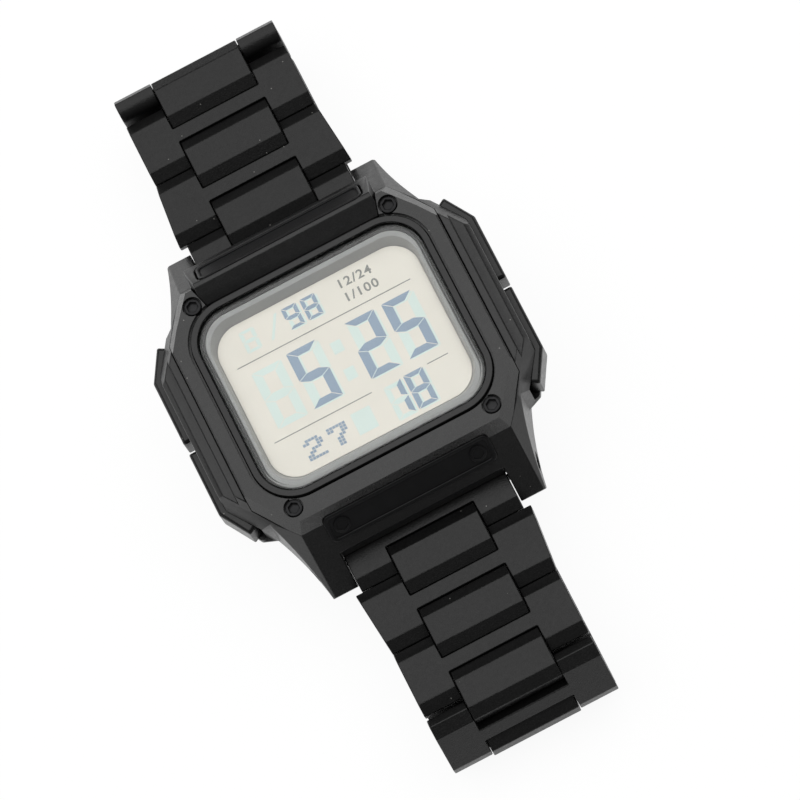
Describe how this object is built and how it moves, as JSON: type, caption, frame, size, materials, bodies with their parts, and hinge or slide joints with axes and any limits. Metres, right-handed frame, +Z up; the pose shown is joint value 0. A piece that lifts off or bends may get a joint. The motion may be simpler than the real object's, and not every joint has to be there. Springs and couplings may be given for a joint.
{
  "type": "digital watch",
  "caption": "Digital watch with an octagonal moulded case, side pushers and a link bracelet closed by a folding clasp, laid flat dial up.",
  "frame": {"origin": "on the outer face of the clasp cover, which the watch stands on, below the middle of the dial", "axes": "+X towards 3 o'clock, +Y towards 12 o'clock, +Z up out of the dial"},
  "size_m": [0.048, 0.1044, 0.0223],
  "materials": {
    "case_resin": "fine-grained matt black",
    "bezel_resin": "satin black",
    "bracelet_resin": "fine-grained matt black",
    "pusher_resin": "satin black",
    "screw_steel": "black, satin",
    "plate_metal": "black, satin",
    "clasp_metal": "black, satin",
    "crystal": "clear, polished",
    "frame_plastic": "matt grey",
    "lcd": "cream reflective display",
    "clear_plastic": "clear, smooth",
    "contact_rubber": "striped silicone",
    "board": "green laminate",
    "holder_plastic": "moulded, matt",
    "contact_brass": "plain",
    "cell_steel": "plain",
    "back_steel": "brushed",
    "gasket_rubber": "smooth"
  },
  "bodies": {
    "case": {"case_middle": "case_resin", "bezel": "bezel_resin", "crystal_ring": "bezel_resin", "crystal": "crystal", "case_back": "back_steel", "plate_12": "plate_metal", "plate_6": "plate_metal", "crystal_gasket": "gasket_rubber", "display_frame": "frame_plastic", "lcd_glass": "lcd", "light_guide": "clear_plastic", "display_connectors": "contact_rubber", "circuit_board": "board", "module_holder": "holder_plastic", "contact_springs": "contact_brass", "battery": "cell_steel", "battery_clip": "cell_steel", "buzzer": "contact_brass", "back_gasket": "gasket_rubber", "pusher_seals": "gasket_rubber", "bezel_screws": "screw_steel", "back_screws": "back_steel", "plate_rivets": "plate_metal", "lug_spring_bars": "back_steel"},
    "end_link_12": {"end_link_12": "bracelet_resin"},
    "mid_link_12_1": {"mid_link_12_1": "bracelet_resin"},
    "wide_link_12_1": {"wide_link_12_1": "bracelet_resin"},
    "mid_link_12_2": {"mid_link_12_2": "bracelet_resin"},
    "wide_link_12_2": {"wide_link_12_2": "bracelet_resin"},
    "mid_link_12_3": {"mid_link_12_3": "bracelet_resin"},
    "wide_link_12_3": {"wide_link_12_3": "bracelet_resin"},
    "mid_link_12_4": {"mid_link_12_4": "bracelet_resin"},
    "wide_link_12_4": {"wide_link_12_4": "bracelet_resin"},
    "mid_link_12_5": {"mid_link_12_5": "bracelet_resin"},
    "wide_link_12_5": {"wide_link_12_5": "bracelet_resin"},
    "mid_link_12_6": {"mid_link_12_6": "bracelet_resin"},
    "wide_link_12_6": {"wide_link_12_6": "bracelet_resin"},
    "end_link_6": {"end_link_6": "bracelet_resin"},
    "mid_link_6_1": {"mid_link_6_1": "bracelet_resin"},
    "wide_link_6_1": {"wide_link_6_1": "bracelet_resin"},
    "mid_link_6_2": {"mid_link_6_2": "bracelet_resin"},
    "wide_link_6_2": {"wide_link_6_2": "bracelet_resin"},
    "mid_link_6_3": {"mid_link_6_3": "bracelet_resin"},
    "wide_link_6_3": {"wide_link_6_3": "bracelet_resin"},
    "mid_link_6_4": {"mid_link_6_4": "bracelet_resin"},
    "wide_link_6_4": {"wide_link_6_4": "bracelet_resin"},
    "mid_link_6_5": {"mid_link_6_5": "bracelet_resin"},
    "wide_link_6_5": {"wide_link_6_5": "bracelet_resin"},
    "mid_link_6_6": {"mid_link_6_6": "bracelet_resin"},
    "wide_link_6_6": {"wide_link_6_6": "bracelet_resin"},
    "clasp_cover": {"clasp_cover": "clasp_metal"},
    "clasp_middle_leaf": {"clasp_middle_leaf": "clasp_metal"},
    "clasp_inner_leaf": {"clasp_inner_leaf": "clasp_metal"},
    "clasp_button_left": {"clasp_button_left": "clasp_metal"},
    "clasp_button_right": {"clasp_button_right": "clasp_metal"},
    "pusher_2": {"pusher_2": "pusher_resin"},
    "pusher_4": {"pusher_4": "pusher_resin"},
    "pusher_8": {"pusher_8": "pusher_resin"},
    "pusher_10": {"pusher_10": "pusher_resin"}
  },
  "joints": [
    {"name": "end_link_12_hinge", "type": "hinge", "parent": "case", "child": "end_link_12", "pos_m": [0, 0.0223, 0.01111], "axis": [1, 0, 0], "range_deg": [-8.93, 0]},
    {"name": "mid_link_12_1_hinge", "type": "hinge", "parent": "end_link_12", "child": "mid_link_12_1", "pos_m": [0, 0.0251, 0.01111], "axis": [1, 0, 0], "range_deg": [-9.4, 0]},
    {"name": "wide_link_12_1_hinge", "type": "hinge", "parent": "mid_link_12_1", "child": "wide_link_12_1", "pos_m": [0, 0.0296, 0.01111], "axis": [1, 0, 0], "range_deg": [-10.92, 0]},
    {"name": "mid_link_12_2_hinge", "type": "hinge", "parent": "wide_link_12_1", "child": "mid_link_12_2", "pos_m": [0, 0.0347, 0.01111], "axis": [1, 0, 0], "range_deg": [-14.17, 0]},
    {"name": "wide_link_12_2_hinge", "type": "hinge", "parent": "mid_link_12_2", "child": "wide_link_12_2", "pos_m": [0, 0.0392, 0.01111], "axis": [1, 0, 0], "range_deg": [-19.33, 0]},
    {"name": "mid_link_12_3_hinge", "type": "hinge", "parent": "wide_link_12_2", "child": "mid_link_12_3", "pos_m": [0, 0.0443, 0.01111], "axis": [1, 0, 0], "range_deg": [-25.68, 0]},
    {"name": "wide_link_12_3_hinge", "type": "hinge", "parent": "mid_link_12_3", "child": "wide_link_12_3", "pos_m": [0, 0.0488, 0.01111], "axis": [1, 0, 0], "range_deg": [0, 89.66]},
    {"name": "mid_link_12_4_hinge", "type": "hinge", "parent": "wide_link_12_3", "child": "mid_link_12_4", "pos_m": [0, 0.0488, 0.00601], "axis": [1, 0, 0], "range_deg": [0, 46.6]},
    {"name": "wide_link_12_4_hinge", "type": "hinge", "parent": "mid_link_12_4", "child": "wide_link_12_4", "pos_m": [0, 0.04565, 0.0028], "axis": [1, 0, 0], "range_deg": [0, 49.02]},
    {"name": "mid_link_12_5_hinge", "type": "hinge", "parent": "wide_link_12_4", "child": "mid_link_12_5", "pos_m": [0, 0.04055, 0.0028], "axis": [1, 0, 0], "range_deg": [-16.15, 0]},
    {"name": "wide_link_12_5_hinge", "type": "hinge", "parent": "mid_link_12_5", "child": "wide_link_12_5", "pos_m": [0, 0.03605, 0.0028], "axis": [1, 0, 0], "range_deg": [-19.85, 0]},
    {"name": "mid_link_12_6_hinge", "type": "hinge", "parent": "wide_link_12_5", "child": "mid_link_12_6", "pos_m": [0, 0.03095, 0.0028], "axis": [1, 0, 0], "range_deg": [-20.92, 0]},
    {"name": "wide_link_12_6_hinge", "type": "hinge", "parent": "mid_link_12_6", "child": "wide_link_12_6", "pos_m": [0, 0.02645, 0.0028], "axis": [1, 0, 0], "range_deg": [-21.02, 0]},
    {"name": "end_link_6_hinge", "type": "hinge", "parent": "case", "child": "end_link_6", "pos_m": [0, -0.0223, 0.01111], "axis": [-1, 0, 0], "range_deg": [-11.9, 0]},
    {"name": "mid_link_6_1_hinge", "type": "hinge", "parent": "end_link_6", "child": "mid_link_6_1", "pos_m": [0, -0.0251, 0.01111], "axis": [-1, 0, 0], "range_deg": [-15.56, 0]},
    {"name": "wide_link_6_1_hinge", "type": "hinge", "parent": "mid_link_6_1", "child": "wide_link_6_1", "pos_m": [0, -0.0296, 0.01111], "axis": [-1, 0, 0], "range_deg": [-15.47, 0]},
    {"name": "mid_link_6_2_hinge", "type": "hinge", "parent": "wide_link_6_1", "child": "mid_link_6_2", "pos_m": [0, -0.0347, 0.01111], "axis": [-1, 0, 0], "range_deg": [-15.37, 0]},
    {"name": "wide_link_6_2_hinge", "type": "hinge", "parent": "mid_link_6_2", "child": "wide_link_6_2", "pos_m": [0, -0.0392, 0.01111], "axis": [-1, 0, 0], "range_deg": [-16.29, 0]},
    {"name": "mid_link_6_3_hinge", "type": "hinge", "parent": "wide_link_6_2", "child": "mid_link_6_3", "pos_m": [0, -0.0443, 0.01111], "axis": [-1, 0, 0], "range_deg": [-19.56, 0]},
    {"name": "wide_link_6_3_hinge", "type": "hinge", "parent": "mid_link_6_3", "child": "wide_link_6_3", "pos_m": [0, -0.0488, 0.01111], "axis": [-1, 0, 0], "range_deg": [0, 53.1]},
    {"name": "mid_link_6_4_hinge", "type": "hinge", "parent": "wide_link_6_3", "child": "mid_link_6_4", "pos_m": [0, -0.05135, 0.0067], "axis": [-1, 0, 0], "range_deg": [0, 54.34]},
    {"name": "wide_link_6_4_hinge", "type": "hinge", "parent": "mid_link_6_4", "child": "wide_link_6_4", "pos_m": [0, -0.0491, 0.0028], "axis": [-1, 0, 0], "range_deg": [0, 69.65]},
    {"name": "mid_link_6_5_hinge", "type": "hinge", "parent": "wide_link_6_4", "child": "mid_link_6_5", "pos_m": [0, -0.044, 0.0028], "axis": [-1, 0, 0], "range_deg": [-10.85, 0]},
    {"name": "wide_link_6_5_hinge", "type": "hinge", "parent": "mid_link_6_5", "child": "wide_link_6_5", "pos_m": [0, -0.0395, 0.0028], "axis": [-1, 0, 0], "range_deg": [-17.77, 0]},
    {"name": "mid_link_6_6_hinge", "type": "hinge", "parent": "wide_link_6_5", "child": "mid_link_6_6", "pos_m": [0, -0.0344, 0.0028], "axis": [-1, 0, 0], "range_deg": [-23.94, 0]},
    {"name": "wide_link_6_6_hinge", "type": "hinge", "parent": "mid_link_6_6", "child": "wide_link_6_6", "pos_m": [0, -0.0299, 0.0028], "axis": [-1, 0, 0], "range_deg": [-26.74, 0]},
    {"name": "clasp_cover_hinge", "type": "hinge", "parent": "wide_link_6_6", "child": "clasp_cover", "pos_m": [0, -0.0248, 0.0028], "axis": [-1, 0, 0], "range_deg": [0, 55]},
    {"name": "clasp_middle_leaf_hinge", "type": "hinge", "parent": "clasp_cover", "child": "clasp_middle_leaf", "pos_m": [0, 0.01675, 0.0028], "axis": [-1, 0, 0], "range_deg": [0, 5]},
    {"name": "clasp_inner_leaf_hinge", "type": "hinge", "parent": "clasp_middle_leaf", "child": "clasp_inner_leaf", "pos_m": [0, -0.0188, 0.0028], "axis": [-1, 0, 0], "range_deg": [-64.45, 0]},
    {"name": "clasp_button_left_slide", "type": "slide", "parent": "clasp_cover", "child": "clasp_button_left", "axis": [1, 0, 0], "range_m": [0, 0.0006], "stiffness_N_per_m": 800},
    {"name": "clasp_button_right_slide", "type": "slide", "parent": "clasp_cover", "child": "clasp_button_right", "axis": [-1, 0, 0], "range_m": [0, 0.0006], "stiffness_N_per_m": 800},
    {"name": "pusher_2_slide", "type": "slide", "parent": "case", "child": "pusher_2", "axis": [-1, 0, 0], "range_m": [0, 0.0008], "stiffness_N_per_m": 1200},
    {"name": "pusher_4_slide", "type": "slide", "parent": "case", "child": "pusher_4", "axis": [-1, 0, 0], "range_m": [0, 0.0008], "stiffness_N_per_m": 1200},
    {"name": "pusher_8_slide", "type": "slide", "parent": "case", "child": "pusher_8", "axis": [1, 0, 0], "range_m": [0, 0.0008], "stiffness_N_per_m": 1200},
    {"name": "pusher_10_slide", "type": "slide", "parent": "case", "child": "pusher_10", "axis": [1, 0, 0], "range_m": [0, 0.0008], "stiffness_N_per_m": 1200}
  ],
  "couplings": [
    {"joint": "end_link_12_hinge", "follows": "end_link_6_hinge", "ratio": 0.57709},
    {"joint": "mid_link_12_1_hinge", "follows": "end_link_6_hinge", "ratio": 0.60755},
    {"joint": "wide_link_12_1_hinge", "follows": "end_link_6_hinge", "ratio": 0.70615},
    {"joint": "mid_link_12_2_hinge", "follows": "end_link_6_hinge", "ratio": 0.91602},
    {"joint": "wide_link_12_2_hinge", "follows": "end_link_6_hinge", "ratio": 1.2496},
    {"joint": "mid_link_12_3_hinge", "follows": "end_link_6_hinge", "ratio": 1.6598},
    {"joint": "wide_link_12_3_hinge", "follows": "end_link_6_hinge", "ratio": -5.7954},
    {"joint": "mid_link_12_4_hinge", "follows": "end_link_6_hinge", "ratio": -3.0122},
    {"joint": "wide_link_12_4_hinge", "follows": "end_link_6_hinge", "ratio": -3.1689},
    {"joint": "mid_link_12_5_hinge", "follows": "end_link_6_hinge", "ratio": 1.044},
    {"joint": "wide_link_12_5_hinge", "follows": "end_link_6_hinge", "ratio": 1.2832},
    {"joint": "mid_link_12_6_hinge", "follows": "end_link_6_hinge", "ratio": 1.3525},
    {"joint": "wide_link_12_6_hinge", "follows": "end_link_6_hinge", "ratio": 1.3589},
    {"joint": "mid_link_6_1_hinge", "follows": "end_link_6_hinge", "ratio": 1.0059},
    {"joint": "wide_link_6_1_hinge", "follows": "end_link_6_hinge", "ratio": 0.99994},
    {"joint": "mid_link_6_2_hinge", "follows": "end_link_6_hinge", "ratio": 0.99352},
    {"joint": "wide_link_6_2_hinge", "follows": "end_link_6_hinge", "ratio": 1.053},
    {"joint": "mid_link_6_3_hinge", "follows": "end_link_6_hinge", "ratio": 1.2647},
    {"joint": "wide_link_6_3_hinge", "follows": "end_link_6_hinge", "ratio": -3.4323},
    {"joint": "mid_link_6_4_hinge", "follows": "end_link_6_hinge", "ratio": -3.5124},
    {"joint": "wide_link_6_4_hinge", "follows": "end_link_6_hinge", "ratio": -4.5021},
    {"joint": "mid_link_6_5_hinge", "follows": "end_link_6_hinge", "ratio": 0.70108},
    {"joint": "wide_link_6_5_hinge", "follows": "end_link_6_hinge", "ratio": 1.1489},
    {"joint": "mid_link_6_6_hinge", "follows": "end_link_6_hinge", "ratio": 1.5478},
    {"joint": "wide_link_6_6_hinge", "follows": "end_link_6_hinge", "ratio": 1.7287},
    {"joint": "clasp_middle_leaf_hinge", "follows": "clasp_cover_hinge", "ratio": 0.090703},
    {"joint": "clasp_inner_leaf_hinge", "follows": "clasp_cover_hinge", "ratio": -1.1717}
  ]
}
